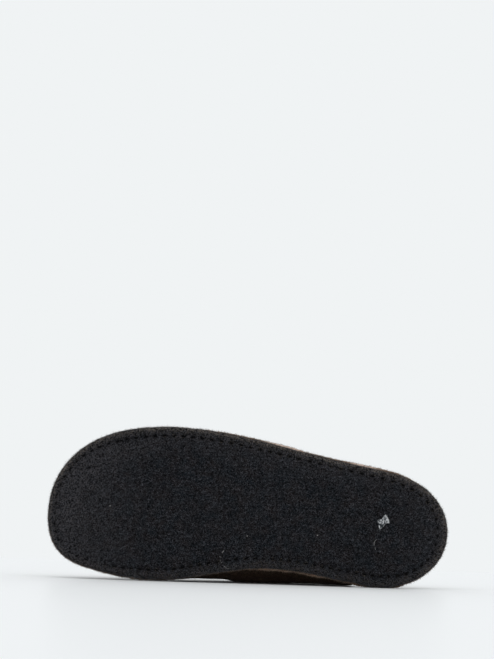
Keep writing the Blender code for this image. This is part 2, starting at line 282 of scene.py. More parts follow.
def edit_with(action):
    """Go into edit mode with everything selected, or nothing."""
    bpy.ops.object.mode_set(mode="EDIT")
    bpy.ops.mesh.select_all(action=action)


def copy_of_node(node_name, name):
    """A CAD node's shape as a new piece, its loose triangles welded and joined into quads."""
    piece = frame["nodes"][node_name].copy()
    piece.data = frame["nodes"][node_name].data.copy()
    piece.name = name
    piece.parent = None
    for key in list(piece.keys()):
        del piece[key]
    bpy.context.scene.collection.objects.link(piece)
    piece.data.materials.clear()
    only(piece)
    edit_with("SELECT")
    bpy.ops.mesh.remove_doubles(threshold=0.02 * MM)
    bpy.ops.mesh.tris_convert_to_quads(face_threshold=math.radians(60.0), shape_threshold=math.radians(60.0))
    bpy.ops.mesh.normals_make_consistent(inside=False)
    bpy.ops.object.mode_set(mode="OBJECT")
    return piece


def crease_edges(piece, angle):
    """Crease the edges that turn by more than an angle, so that subdividing keeps them crisp."""
    only(piece)
    edit_with("DESELECT")
    bpy.ops.mesh.select_mode(type="EDGE")
    bpy.ops.mesh.edges_select_sharp(sharpness=angle)
    bpy.ops.transform.edge_crease(value=0.75)
    bpy.ops.object.mode_set(mode="OBJECT")


def apply_modifier(piece, kind, **settings):
    """Add one modifier with its settings and apply it."""
    only(piece)
    modifier = piece.modifiers.new(kind.lower(), kind)
    for name, value in settings.items():
        setattr(modifier, name, value)
    bpy.ops.object.modifier_apply(modifier=modifier.name)


def felt_skin(node_name, name, voxel, crease=None):
    """A CAD node as a smooth skin with an even mesh, its edges kept where they turn by more than crease."""
    piece = copy_of_node(node_name, name)
    if crease:
        crease_edges(piece, math.radians(crease))
    apply_modifier(piece, "SUBSURF", levels=2, render_levels=2)
    apply_modifier(piece, "REMESH", mode="VOXEL", voxel_size=voxel * MM, use_smooth_shade=True)
    return piece


def uneven(piece, size, depth):
    """Push the skin in and out by soft clouds of a size and a full depth, both in millimetres."""
    clouds = bpy.data.textures.new(piece.name + "_clouds", "CLOUDS")
    clouds.noise_scale = size * MM
    clouds.noise_depth = 2
    apply_modifier(piece, "DISPLACE", texture=clouds, texture_coords="LOCAL", strength=depth * MM,
                   mid_level=0.5)
    bpy.data.textures.remove(clouds)


def points_of(piece):
    """A piece's points as an array, in metres."""
    points = np.empty(len(piece.data.vertices) * 3)
    piece.data.vertices.foreach_get("co", points)
    return points.reshape(-1, 3)


def move_to(piece, points):
    """Give a piece new points."""
    piece.data.vertices.foreach_set("co", points.ravel())
    piece.data.update()


def paint(piece, name, values):
    """Store one number per point for the material to read."""
    layer = piece.data.attributes.new(name, "FLOAT", "POINT")
    layer.data.foreach_set("value", values.astype(np.float32))


def linear(hex_colour):
    """An sRGB hex colour as linear red, green, blue and alpha."""
    parts = [int(hex_colour[place:place + 2], 16) / 255.0 for place in (0, 2, 4)]
    light = [part / 12.92 if part <= 0.04045 else ((part + 0.055) / 1.055) ** 2.4 for part in parts]
    return (*light, 1.0)


def new_material(name, values):
    """A node material with values set on the sockets of its surface shader."""
    material = bpy.data.materials.new(name)
    material.use_nodes = True
    for socket, value in values.items():
        material.node_tree.nodes["Principled BSDF"].inputs[socket].default_value = value
    return material


def link_surface(material, colour, relief=None):
    """Link a colour, and a relief where there is one, to a material's surface shader."""
    sockets = material.node_tree.nodes["Principled BSDF"].inputs
    material.node_tree.links.new(colour.outputs["Result"], sockets["Base Color"])
    if relief:
        material.node_tree.links.new(relief.outputs["Normal"], sockets["Normal"])


def add_node(material, kind, values=None, links=None, **settings):
    """Add one shader node of a kind, with its settings, socket values and links."""
    node = material.node_tree.nodes.new("ShaderNode" + kind)
    for name, value in settings.items():
        setattr(node, name, value)
    for socket, value in (values or {}).items():
        node.inputs[socket].default_value = value
    for socket, source in (links or {}).items():
        material.node_tree.links.new(source, node.inputs[socket])
    return node


def seam_at(line, places):
    """Points and directions on a line that runs along the seam, at places along the seam."""
    closed = np.concatenate((line, line[:1]))
    point, further = (np.stack([np.interp(np.mod(place, seam_length), seam_places, closed[:, axis])
                                for axis in (0, 1)], axis=1) for place in (places, places + SEAM_STEP))
    return point, (further - point) / np.linalg.norm(further - point, axis=1)[:, None]


seam_points, seam_along = seam_at(seam_line, stitch_places)
stitch_pull = 1.0 - PULL_SPREAD * np.random.default_rng(PULL_SEED).random(stitch_count)
stitch_pull *= 1.0 - TOE_SLACK * ease(seam_points[:, 0], *TOE_SLACK_STATIONS)
inner_side = 1.0 - ease(seam_points[:, 1], *HEEL_SLACK_SIDES)
stitch_pull *= 1.0 - HEEL_SLACK * (1.0 - ease(seam_points[:, 0], *HEEL_SLACK_STATIONS)) * inner_side


def stitch_pit(seam_index, from_seam):
    """Share of the pit round each stitch of the seam, from the nearest seam point and the distance to it."""
    place = seam_places[seam_index]
    stitch = np.searchsorted(stitch_middles, place) % stitch_count
    from_stitch = np.abs(place - stitch_places[stitch])
    from_stitch = np.minimum(from_stitch, seam_length - from_stitch) / (PIT_SHARE * stitch_gaps[stitch])
    return stitch_pull[stitch] * np.exp(-(from_seam / PIT_WIDTH) ** 2 - from_stitch ** 2)


def rest_on_floor(piece):
    """Spread the soft edge of the heel down on to what the shoe lies on, where it is already close."""
    points = points_of(piece)
    shoe_points = to_shoe(points)
    _, inward = nearest(edge_tree, shoe_points[:, :2])
    columns = np.floor(points[:, 0] / (REST_COLUMN * MM)).astype(int)
    columns -= columns.min()
    lowest = np.full(columns.max() + 1, np.inf)
    np.minimum.at(lowest, columns, points[:, 2] / MM)
    blur = np.full(REST_COLUMNS, 1.0 / REST_COLUMNS)
    lowest = np.convolve(np.pad(lowest, REST_COLUMNS // 2, mode="edge"), blur, mode="valid")
    clearance = lowest[columns]
    press = (clearance - REST_GAP) * (1.0 - ease(clearance, REST_NEAR, REST_FAR))
    press *= (1.0 - ease(inward, *REST_REACH)) * (1.0 - ease(shoe_points[:, 0], *REST_STATIONS))
    press *= shoe_points[:, 1] < 0.0
    points[:, 2] = np.maximum(points[:, 2] - press * MM, REST_GAP * MM)
    move_to(piece, points)


outsole = felt_skin("outsole", "felt_outsole", FELT_VOXEL, crease=70.0)
seam_tree = line_tree(seam_line)
edge_tree = line_tree(edge_line)
only(outsole)
edit_with("DESELECT")
bpy.ops.mesh.select_mode(type="FACE")
bpy.ops.object.mode_set(mode="OBJECT")
centres = np.empty(len(outsole.data.polygons) * 3)
outsole.data.polygons.foreach_get("center", centres)
centres = to_shoe(centres.reshape(-1, 3))
_, away = nearest(seam_tree, centres[:, :2])
on_tread = centres[:, 2] - toe_lift(centres[:, 0]) < TREAD_DEPTH
outsole.data.polygons.foreach_set("select", (away < SEAM_BAND) & on_tread)
bpy.ops.object.mode_set(mode="EDIT")
bpy.ops.mesh.subdivide(number_cuts=1, smoothness=0.0)
bpy.ops.object.mode_set(mode="OBJECT")
shoe_skin = to_shoe(points_of(outsole))
stations = shoe_skin[:, 0]
sides = shoe_skin[:, 1]
seam_index, from_seam = nearest(seam_tree, shoe_skin[:, :2])
edge_index, from_edge = nearest(edge_tree, shoe_skin[:, :2])
tread_share = 1.0 - ease(shoe_skin[:, 2] - toe_lift(stations), *TREAD_FADE)
pit = stitch_pit(seam_index, from_seam)
trough = np.exp(-(from_seam / TROUGH_WIDTH) ** 2)
puff = np.exp(-((from_edge - PUFF_INSET) / PUFF_WIDTH) ** 2)
lift = PIT_DEPTH * pit + TROUGH_DEPTH * trough - PUFF_HEIGHT * puff
for station, side, length, width, depth in TREAD_DENT_ROWS:
    spread = ((stations - station) / length) ** 2 + ((sides - side) / width) ** 2
    lift += depth * np.exp(-spread)
shoe_skin[:, 2] += lift * tread_share
outer_share = ease(sides, *OUTER_SIDES)
long_side = ease(stations, *LONG_SIDE_START) * (1.0 - ease(stations, *LONG_SIDE_END))
worn = (EDGE_WORN + OUTER_WORN * outer_share * long_side) * (1.0 - ease(from_edge, *WORN_REACH))
shoe_skin[:, :2] -= edge_outward[edge_index] * worn[:, None]
move_to(outsole, from_shoe(shoe_skin))
uneven(outsole, size=24.0, depth=0.5)
uneven(outsole, size=5.0, depth=0.35)
rest_on_floor(outsole)
outer_toe = ease(stations, *OUTER_TOE_STATIONS) * ease(sides, *OUTER_TOE_SIDES)
inner_toe = ease(stations, *INNER_TOE_STATIONS) * (1.0 - outer_share)
heel_end = 1.0 - ease(stations, *HEEL_STATIONS)
# Painted shade: the pits of the seam, the groove between them at the outer toe, and the cut edge at the toe,
# darkened
groove = GROOVE_DARK * outer_toe * np.exp(-(from_seam / GROOVE_WIDTH) ** 2)
toe_wall = TOE_WALL_DARK * ease(stations, *TOE_WALL_STATIONS) * (1.0 - ease(from_edge, *TOE_WALL_REACH))
paint(outsole, "painted_shade", np.minimum(1.0, (PIT_DARK * pit + groove) * tread_share + toe_wall))
# Pale rim, partly worn felt and partly painted highlight: the margin outside the seam, paler on the outer
# side that faces up, and the rim where it has rubbed on the floor and catches the light
margin = MARGIN_PALE + MARGIN_OUTER_PALE * outer_share + MARGIN_HEEL_PALE * heel_end
margin *= 1.0 - MARGIN_TOE_FADE * inner_toe
margin *= 1.0 - ease(from_edge, *MARGIN_REACH)
rubbed_and_lit = OUTER_RUBBED_AND_LIT * outer_share * (1.0 - OUTER_HEEL_FADE * heel_end) + INNER_TOE_RUBBED_AND_LIT * inner_toe
rubbed_and_lit += INNER_HEEL_RUBBED_AND_LIT * (1.0 - outer_share) * heel_end
rubbed_and_lit *= 1.0 - ease(from_edge, *RUBBED_AND_LIT_REACH)
paint(outsole, "rim_worn_and_lit", (margin + rubbed_and_lit) * tread_share)
# Paler: painted light at the toe and heel ends, paler bands at the outer toe and along the outer side, and a
# painted highlight on the felt between stitches
between = BETWEEN_HIGHLIGHT * (1.0 - ease(stations, *BETWEEN_STATIONS))
between += BETWEEN_OUTER_HIGHLIGHT * outer_share * (1.0 - outer_toe)
between *= np.exp(-(from_seam / BETWEEN_WIDTH) ** 2) * (1.0 - np.minimum(1.0, PIT_CLEAN * pit))
toe_band = TOE_BAND_PALE * outer_toe * np.exp(-((from_edge - TOE_BAND_INSET) / TOE_BAND_WIDTH) ** 2)
outer_band = OUTER_BAND_PALE * outer_share * (1.0 - outer_toe) * (1.0 - ease(from_edge, *OUTER_BAND_REACH))
paler_and_lit = TOE_END_LIGHT * ease(stations, *TOE_END_LIGHT_STATIONS) + HEEL_END_LIGHT * heel_end
paler_and_lit = paler_and_lit + toe_band + outer_band + between
paint(outsole, "pale_and_painted_light", np.minimum(MOST_PALE, paler_and_lit))

# Black needle felt: matted dull fibres with no gloss, short strokes of lighter fibre lying every way, painted
# light at the toe and heel, a warm pale rim that is partly worn and partly painted highlight, and painted
# shade in the pits of the seam. Strokes are drawn 0.4 mm wide, coarser than real fibres, so that they show.
FELT_DARK = "020203"
FELT_COOL = "192025"
FELT_WARM = "252121"
FELT_FIBRE = "5D5E64"
# Painted shade in the pits, a rim tone that is partly worn and partly painted highlight, and a paler tone for
# painted light
FELT_PIT_SHADE = "010102"
FELT_RIM_WORN_AND_LIT = "6E665F"
FELT_PALE_LIGHT = "424042"
TINT_SIZE = 7.0
CLUMP_SIZE = 2.6
GRAIN_SIZE = 0.7
TUFT_SIZE = 0.65
STROKE_LENGTH = 1.7
STROKE_WIDTH = 0.4
STROKE_TURNS = (12.0, 58.0, 103.0, 149.0)


def felt_strokes(material, place):
    """Short fibre strokes lying four ways over a felt: the strongest of four drawn-out noises."""
    strongest = None
    for turn in STROKE_TURNS:
        turned = add_node(material, "Mapping", {
            "Rotation": (0.0, math.radians(turn), 0.0),
            "Scale": (STROKE_LENGTH * MM, STROKE_WIDTH * MM, STROKE_WIDTH * MM),
        }, {"Vector": place.outputs["Object"]}, vector_type="TEXTURE")
        stroke = add_node(material, "TexNoise", {"Scale": 1.0, "Detail": 1.0, "Roughness": 0.5},
                          {"Vector": turned.outputs["Vector"]})
        if strongest is None:
            strongest = stroke.outputs["Fac"]
        else:
            strongest = add_node(material, "Math", {}, {0: strongest, 1: stroke.outputs["Fac"]},
                                 operation="MAXIMUM").outputs["Value"]
    return add_node(material, "MapRange", {"From Min": 0.60, "From Max": 0.84},
                    {"Value": strongest}).outputs["Result"]


black_felt = new_material("black_needle_felt", {
    "Roughness": 0.95, "Specular IOR Level": 0.02, "Sheen Weight": 0.02, "Sheen Roughness": 0.5,
})
felt_place = add_node(black_felt, "TexCoord")
clumps = add_node(black_felt, "TexNoise",
                  {"Scale": 1.0 / (CLUMP_SIZE * MM), "Detail": 2.0, "Roughness": 0.6},
                  {"Vector": felt_place.outputs["Object"]})
grain = add_node(black_felt, "TexNoise",
                 {"Scale": 1.0 / (GRAIN_SIZE * MM), "Detail": 2.0, "Roughness": 0.6},
                 {"Vector": felt_place.outputs["Object"]})
tufts = add_node(black_felt, "TexVoronoi", {"Scale": 1.0 / (TUFT_SIZE * MM)},
                 {"Vector": felt_place.outputs["Object"]})
strokes = felt_strokes(black_felt, felt_place)
mixed = grain.outputs["Fac"]
for source, amount in ((clumps.outputs["Fac"], 0.2), (tufts.outputs["Color"], 1.1)):
    mixed = add_node(black_felt, "Math", {1: amount}, {0: source, 2: mixed},
                     operation="MULTIPLY_ADD").outputs["Value"]
mottle = add_node(black_felt, "MapRange", {"From Min": 0.98, "From Max": 1.46}, {"Value": mixed})
tint = add_node(black_felt, "TexNoise", {"Scale": 1.0 / (TINT_SIZE * MM), "Detail": 1.0},
                {"Vector": felt_place.outputs["Object"]})
tint_share = add_node(black_felt, "MapRange", {"From Min": 0.35, "From Max": 0.65},
                      {"Value": tint.outputs["Fac"]})
tinted = add_node(black_felt, "Mix", {"A": linear(FELT_COOL), "B": linear(FELT_WARM)},
                  {"Factor": tint_share.outputs["Result"]}, data_type="RGBA")
toned = add_node(black_felt, "Mix", {"A": linear(FELT_DARK)},
                 {"Factor": mottle.outputs["Result"], "B": tinted.outputs["Result"]}, data_type="RGBA")
# Paler tones: painted light at the ends and between stitches, and a rim that is partly worn and partly
# painted highlight
for mark, mark_tone in (("pale_and_painted_light", FELT_PALE_LIGHT), ("rim_worn_and_lit", FELT_RIM_WORN_AND_LIT)):
    painted = add_node(black_felt, "Attribute", attribute_name=mark)
    mark_share = add_node(black_felt, "Math", {},
                          {0: painted.outputs["Fac"], 1: mottle.outputs["Result"]}, operation="MULTIPLY")
    toned = add_node(black_felt, "Mix", {"B": linear(mark_tone)},
                     {"Factor": mark_share.outputs["Value"], "A": toned.outputs["Result"]}, data_type="RGBA")
fibred = add_node(black_felt, "Mix", {"B": linear(FELT_FIBRE)},
                  {"Factor": strokes, "A": toned.outputs["Result"]}, data_type="RGBA")
# Painted shade: the pits, the toe groove and the toe's cut edge mixed towards near black
painted_shade = add_node(black_felt, "Attribute", attribute_name="painted_shade")
pitted = add_node(black_felt, "Mix", {"B": linear(FELT_PIT_SHADE)},
                  {"Factor": painted_shade.outputs["Fac"], "A": fibred.outputs["Result"]}, data_type="RGBA")
felt_height = add_node(black_felt, "Math", {}, {0: mottle.outputs["Result"], 1: strokes},
                       operation="ADD")
felt_bump = add_node(black_felt, "Bump", {"Strength": 0.8, "Distance": 0.4 * MM},
                     {"Height": felt_height.outputs["Value"]})
link_surface(black_felt, pitted, felt_bump)
outsole.data.materials.append(black_felt)
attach(outsole, "root")
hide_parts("outsole")

# Tread side of the sole seam: heavy black thread run in and out by hand, so that a stitch shows on this side
# and the next one on the other. Each is pulled down into its own pit and dives into the felt at both ends.
THREAD_WIDTH = 1.1
THREAD_HEIGHT = 0.8
STITCH_SHOW = 3.4
STITCH_DIVE = 0.9
STITCH_SUNK = 1.2
TWIST_SIZE = 0.6
# How much fuller than an egg's the ends of a stitch are
END_REACH = 0.9
END_LEAST = 0.35
END_FULLNESS = 0.6


def stitch_row(name, places, up, along):
    """A row of stitches as one mesh: one rice-shaped stitch is modelled, then copied to each place."""
    bpy.ops.object.select_all(action="DESELECT")
    bpy.ops.mesh.primitive_uv_sphere_add(segments=10, ring_count=8, radius=0.5)
    row = bpy.context.active_object
    row.name = name
    edit_with("SELECT")
    bpy.ops.transform.rotate(value=math.radians(90.0), orient_axis="Y", center_override=(0.0, 0.0, 0.0))
    bpy.ops.transform.resize(value=(STITCH_SHOW, THREAD_WIDTH, THREAD_HEIGHT))
    bpy.ops.object.mode_set(mode="OBJECT")
    shape = points_of(row)
    reach = 0.5 * STITCH_SHOW
    egg = np.sqrt(np.maximum(0.0, 1.0 - (END_REACH * shape[:, 0] / reach) ** 2))
    fuller = 1.0 / np.maximum(END_LEAST, egg) ** END_FULLNESS
    shape[:, 1:] *= fuller[:, None]
    shape[:, 2] -= STITCH_DIVE * (shape[:, 0] / reach) ** 4
    faces = [list(polygon.vertices) for polygon in row.data.polygons]
    side = np.cross(up, along)
    spread = (shape[None, :, :1] * along[:, None] + shape[None, :, 1:2] * side[:, None]
              + shape[None, :, 2:] * up[:, None] + places[:, None])
    starts = range(0, len(places) * len(shape), len(shape))
    copies = [[corner + start for corner in face] for start in starts for face in faces]
    row.data.clear_geometry()
    row.data.from_pydata(from_shoe(spread.reshape(-1, 3)), [], copies)
    row.data.shade_smooth()
    return row


flat_along = np.column_stack((seam_along, np.zeros(stitch_count)))
tread_places = np.column_stack((seam_points, STITCH_SUNK + toe_lift(seam_points[:, 0])))
tread_stitches = stitch_row("tread_stitches", tread_places,
                            np.tile((0.0, 0.0, -1.0), (stitch_count, 1)), flat_along)


def waxed_thread(name, dark, worn):
    """Waxed thread: tight twisted yarn, smoother than felt, with a faint sheen and paler where worn."""
    material = new_material(name, {"Roughness": 0.75, "Specular IOR Level": 0.04})
    place = add_node(material, "TexCoord")
    twist = add_node(material, "TexNoise", {"Scale": 1.0 / (TWIST_SIZE * MM), "Detail": 1.0},
                     {"Vector": place.outputs["Object"]})
    relief = add_node(material, "Bump", {"Strength": 0.5, "Distance": 0.15 * MM},
                      {"Height": twist.outputs["Fac"]})
    tone = add_node(material, "Mix", {"A": linear(dark), "B": linear(worn)},
                    {"Factor": twist.outputs["Fac"]}, data_type="RGBA")
    link_surface(material, tone, relief)
    return material


black_thread = waxed_thread("black_waxed_thread", "050506", "101012")
tread_stitches.data.materials.append(black_thread)
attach(tread_stitches, "root")

# Midsole: a thin layer of brown pressed felt between outsole and upper. It is trimmed by hand and stands a
# little proud along the outer side, where its cut edge shows as a furry brown line.
MIDSOLE_VOXEL = 1.1
SIDE_LINE = 5.0
TRIM_REACH = (1.5, 5.0)
# Where the knife left the layer fuller, or cut it back: station, reach, amount, whether on the outer side
TRIM_ROWS = (
    (113.0, 9.0, 0.5, True),
    (61.0, 13.0, 0.5, True),
    (90.0, 85.0, -1.1, True),
    (112.0, 26.0, 0.7, False),
    (165.0, 20.0, -0.8, False),
    (141.0, 5.0, -0.5, False),
    (126.0, 4.0, 0.3, False),
    (104.0, 5.0, -0.4, False),
    (92.0, 4.0, 0.3, False),
    (80.0, 5.0, -0.5, False),
)
# Where the proud edge has frayed pale on the outer side: station, reach; and the heights where that fades
FRAY_ROWS = ((116.0, 13.0), (60.0, 10.0))
FRAY_HEIGHTS = (5.8, 7.6)
midsole = felt_skin("midsole", "brown_midsole", MIDSOLE_VOXEL, crease=60.0)
midsole_points = to_shoe(points_of(midsole))
midsole_edge, from_midsole_edge = nearest(edge_tree, midsole_points[:, :2])
outer_side = midsole_points[:, 1] > SIDE_LINE
edge_share = 1.0 - ease(from_midsole_edge, *TRIM_REACH)
trim = np.zeros(len(midsole_points))
for station, reach, proud, outer in TRIM_ROWS:
    trim += proud * np.exp(-((midsole_points[:, 0] - station) / reach) ** 2) * (outer_side == outer)
trim *= edge_share
midsole_points[:, :2] += edge_outward[midsole_edge] * trim[:, None]
fray = np.zeros(len(midsole_points))
for station, reach in FRAY_ROWS:
    fray += np.exp(-((midsole_points[:, 0] - station) / reach) ** 4) * outer_side
fray *= 1.0 - ease(midsole_points[:, 2], *FRAY_HEIGHTS)
paint(midsole, "fray", fray * edge_share)
move_to(midsole, from_shoe(midsole_points))
uneven(midsole, size=12.0, depth=0.35)
uneven(midsole, size=3.0, depth=0.25)
rest_on_floor(midsole)

# Brown wool felt: heathered fibres of several browns, dull, with the same lying strokes as the black felt.
BROWN_DARK = "5C493D"
BROWN_MID = "826B5A"
BROWN_FIBRE = "AE9681"
BROWN_FRAYED = "E6CDBD"


def brown_wool(name, dark, middle, fibre, bump, frayed=None):
    """Heathered brown felt from three colours, and a fourth where it is frayed."""
    material = new_material(name, {
        "Roughness": 0.95, "Specular IOR Level": 0.05, "Sheen Weight": 0.05, "Sheen Roughness": 0.5,
    })
    place = add_node(material, "TexCoord")
    clouds = add_node(material, "TexNoise",
                      {"Scale": 1.0 / (CLUMP_SIZE * MM), "Detail": 4.0, "Roughness": 0.65},
                      {"Vector": place.outputs["Object"]})
    cloud_range = add_node(material, "MapRange", {"From Min": 0.30, "From Max": 0.70},
                           {"Value": clouds.outputs["Fac"]})
    lying_fibres = felt_strokes(material, place)
    base = add_node(material, "Mix", {"A": linear(dark), "B": linear(middle)},
                    {"Factor": cloud_range.outputs["Result"]}, data_type="RGBA")
    heather = add_node(material, "Mix", {"B": linear(fibre)},
                       {"Factor": lying_fibres, "A": base.outputs["Result"]}, data_type="RGBA")
    height = add_node(material, "Math", {}, {0: cloud_range.outputs["Result"], 1: lying_fibres},
                      operation="ADD")
    relief = add_node(material, "Bump", {"Strength": bump, "Distance": 0.3 * MM},
                      {"Height": height.outputs["Value"]})
    if frayed:
        fray_share = add_node(material, "Attribute", attribute_name="fray")
        heather = add_node(material, "Mix", {"B": linear(frayed)},
                           {"Factor": fray_share.outputs["Fac"], "A": heather.outputs["Result"]},
                           data_type="RGBA")
    link_surface(material, heather, relief)
    return material


# The midsole's browns are paler than the upper's: partly its own colour, partly painted light for its cut
# edge
pressed_felt = brown_wool("brown_pressed_felt", BROWN_DARK, BROWN_MID, BROWN_FIBRE, 0.5, BROWN_FRAYED)
midsole.data.materials.append(pressed_felt)
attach(midsole, "root")
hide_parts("midsole")

# Footbed: brown felt over a soft core, cupped round the heel and raised under the arch. It is laid in loose
# inside the seam, and the foot has pressed its heel, ball and big toe a little way into it.
FOOTBED_VOXEL = 1.3
FOOTBED_TOP = (10.5, 12.5)
# Prints of the foot: station, side, length, width, depth
FOOTBED_PRINT_ROWS = (
    (38.0, 2.0, 26.0, 20.0, 0.9),
    (196.0, 12.0, 24.0, 34.0, 0.8),
    (236.0, -12.0, 12.0, 10.0, 0.5),
)
footbed = felt_skin("insole", "felt_footbed", FOOTBED_VOXEL)
footbed_points = to_shoe(points_of(footbed))
footbed_top = ease(footbed_points[:, 2] - toe_lift(footbed_points[:, 0]), *FOOTBED_TOP)
for station, side, length, width, depth in FOOTBED_PRINT_ROWS:
    spread = ((footbed_points[:, 0] - station) / length) ** 2 + ((footbed_points[:, 1] - side) / width) ** 2
    footbed_points[:, 2] -= depth * np.exp(-spread) * footbed_top
move_to(footbed, from_shoe(footbed_points))
uneven(footbed, size=9.0, depth=0.25)
footbed_felt = brown_wool("brown_footbed_felt", "55443A", "76624F", "A08A74", 0.5)
footbed.data.materials.append(footbed_felt)
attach(footbed, "root")
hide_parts("insole")

# Upper: one piece of brown wool felt 3 mm thick, moulded wet over a last, with its foot turned out on the
# sole and sewn down. Walking has left soft creases across the vamp.
VAMP_HEIGHTS = (22.0, 34.0)
CREASE_BOW = 0.004
RIDGE_AWAY = 1.7
RIDGE_SHARE = 0.6
MARGIN_TROUGH = 0.5
MARGIN_TROUGH_WIDTH = 1.8
MARGIN_HEIGHTS = (13.0, 16.0)
# How the soft inner wing settles on what the shoe lies on where it comes close, save for a gap at the ball
FLOOR_CELL = 2.0
FELT_ON_FLOOR = 0.03
SETTLE_NEAR = 2.2
SETTLE_FAR = 8.0
SETTLE_START = (12.0, 20.0)
SETTLE_SMOOTHING = 8
BALL_GAP = (146.0, 156.0, 178.0, 190.0)
BALL_GAP_NEAR = 2.5
BALL_GAP_FAR = 0.8
BALL_GAP_LIFT = 1.0
# Creases of the vamp: station, side, reach, depth, width
VAMP_CREASE_ROWS = (
    (174.0, -20.0, 14.0, 1.3, 5.0),
    (186.0, -4.0, 28.0, 1.9, 5.5),
    (199.0, 24.0, 26.0, 1.6, 5.0),
    (209.0, -16.0, 16.0, 1.2, 4.5),
)
upper = copy_of_node("upper", "felt_upper")
crease_edges(upper, math.radians(70.0))
apply_modifier(upper, "SUBSURF", levels=2, render_levels=2)
upper_points = to_shoe(points_of(upper))
vamp_share = ease(upper_points[:, 2], *VAMP_HEIGHTS)
for station, side, reach, depth, width in VAMP_CREASE_ROWS:
    bow = station + CREASE_BOW * (upper_points[:, 1] - side) ** 2
    trough_line = np.exp(-((upper_points[:, 0] - bow) / width) ** 2)
    ridge_line = np.exp(-((upper_points[:, 0] - bow - RIDGE_AWAY * width) / width) ** 2)
    reach_share = np.exp(-((upper_points[:, 1] - side) / reach) ** 4)
    upper_points[:, 2] -= depth * (trough_line - RIDGE_SHARE * ridge_line) * reach_share * vamp_share
_, from_upper_seam = nearest(line_tree(margin_seam), upper_points[:, :2])
margin_share = 1.0 - ease(upper_points[:, 2] - toe_lift(upper_points[:, 0]), *MARGIN_HEIGHTS)
upper_points[:, 2] -= MARGIN_TROUGH * np.exp(-(from_upper_seam / MARGIN_TROUGH_WIDTH) ** 2) * margin_share
move_to(upper, from_shoe(upper_points))
uneven(upper, size=30.0, depth=1.0)
uneven(upper, size=6.0, depth=0.3)
upper_skin = points_of(upper)
upper_points = to_shoe(upper_skin)
floor_cells = np.floor(upper_skin[:, :2] / (FLOOR_CELL * MM)).astype(int)
floor_cells -= floor_cells.min(axis=0)
lowest = np.full(floor_cells.max(axis=0) + 1, np.inf)
np.minimum.at(lowest, tuple(floor_cells.T), upper_skin[:, 2] / MM)
clearance = lowest[tuple(floor_cells.T)]
gap_share = ease(upper_points[:, 0], *BALL_GAP[:2]) * (1.0 - ease(upper_points[:, 0], *BALL_GAP[2:]))
from_sole = np.clip((upper_skin[:, 1] - cad_box[0][1]) / (cad_box[1][1] - cad_box[0][1]), 0.0, 1.0)
gap_height = BALL_GAP_NEAR + (BALL_GAP_FAR - BALL_GAP_NEAR) * from_sole
held_off = FELT_ON_FLOOR + (gap_height - FELT_ON_FLOOR) * gap_share
settle = np.maximum(-BALL_GAP_LIFT * gap_share, clearance - held_off)
settle *= 1.0 - ease(clearance, SETTLE_NEAR + held_off, SETTLE_FAR)
settle *= ease(upper_points[:, 2], *SETTLE_START) * (upper_points[:, 1] < 0.0)
edge_ends = np.empty(len(upper.data.edges) * 2, dtype=int)
upper.data.edges.foreach_get("vertices", edge_ends)
here, there = edge_ends.reshape(-1, 2).T
neighbours = np.bincount(here, minlength=len(settle)) + np.bincount(there, minlength=len(settle))
for _ in range(SETTLE_SMOOTHING):
    around = (np.bincount(here, settle[there], minlength=len(settle))
              + np.bincount(there, settle[here], minlength=len(settle)))
    settle = 0.5 * settle + 0.5 * around / neighbours
upper_skin[:, 2] -= settle * MM
upper_skin[:, 2] = np.maximum(upper_skin[:, 2], FELT_ON_FLOOR * MM)
move_to(upper, upper_skin)
upper.data.shade_smooth()
# The upper's browns are darker than the midsole's: partly the felt's own colour, partly painted shade for its
# wall, which lies in shade under the waist
wool_felt = brown_wool("brown_wool_felt", "31261F", "49392E", "6E5A4B", 0.6)
upper.data.materials.append(wool_felt)
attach(upper, "root")
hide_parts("upper")

# Upper side of the same seam: brown waxed thread, each stitch lying between two of the tread side. It holds
# the upper's turned-out margin and, behind the wings, runs on over the midsole.
SOLE_TOP = 8.3
MARGIN_TOP = 11.6
WING_END = 64.0
WING_LAP = 1.0
WING_CLEAR = 3.0
top_points, top_along = seam_at(margin_seam, stitch_middles)
on_margin = top_points[:, 0] > WING_END + WING_LAP
top_heights = np.where(on_margin, MARGIN_TOP, SOLE_TOP) + toe_lift(top_points[:, 0])
clear_of_wing = np.abs(top_points[:, 0] - WING_END) > WING_CLEAR
top_places = np.column_stack((top_points, top_heights))[clear_of_wing]
top_along = np.column_stack((top_along, np.zeros(stitch_count)))[clear_of_wing]
margin_stitches = stitch_row("margin_stitches", top_places,
                             np.tile((0.0, 0.0, 1.0), (len(top_places), 1)), top_along)
brown_thread = waxed_thread("brown_waxed_thread", "17110E", "2E241E")
margin_stitches.data.materials.append(brown_thread)
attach(margin_stitches, "root")

# Loose fibres of the felts: short ends that stand out of the cut edges and the rubbed faces and blur the
# outline. Each is a bent, tapering strip about 0.1 mm wide, coarser than a real fibre, so that it shows.
FIBRE_SEED = 8
# Where a fibre's middle and its tip lie, as shares of its length: along it, and to the side it bends
FIBRE_MIDDLE = (0.55, 0.06)
FIBRE_TIP = (0.95, 0.22)
FIBRE_TAPER = 0.7
FIBRE_ON_FLOOR = 0.1
SHADE_SIZE = 4.0
EDGE_FAVOUR = 4.0
FLAT_FACING = 0.7
EDGE_FACING = 0.8
PIT_CLEAR = 2.5


def new_object(name, data):
    """A new object in the scene."""
    added = bpy.data.objects.new(name, data)
    bpy.context.scene.collection.objects.link(added)
    return added


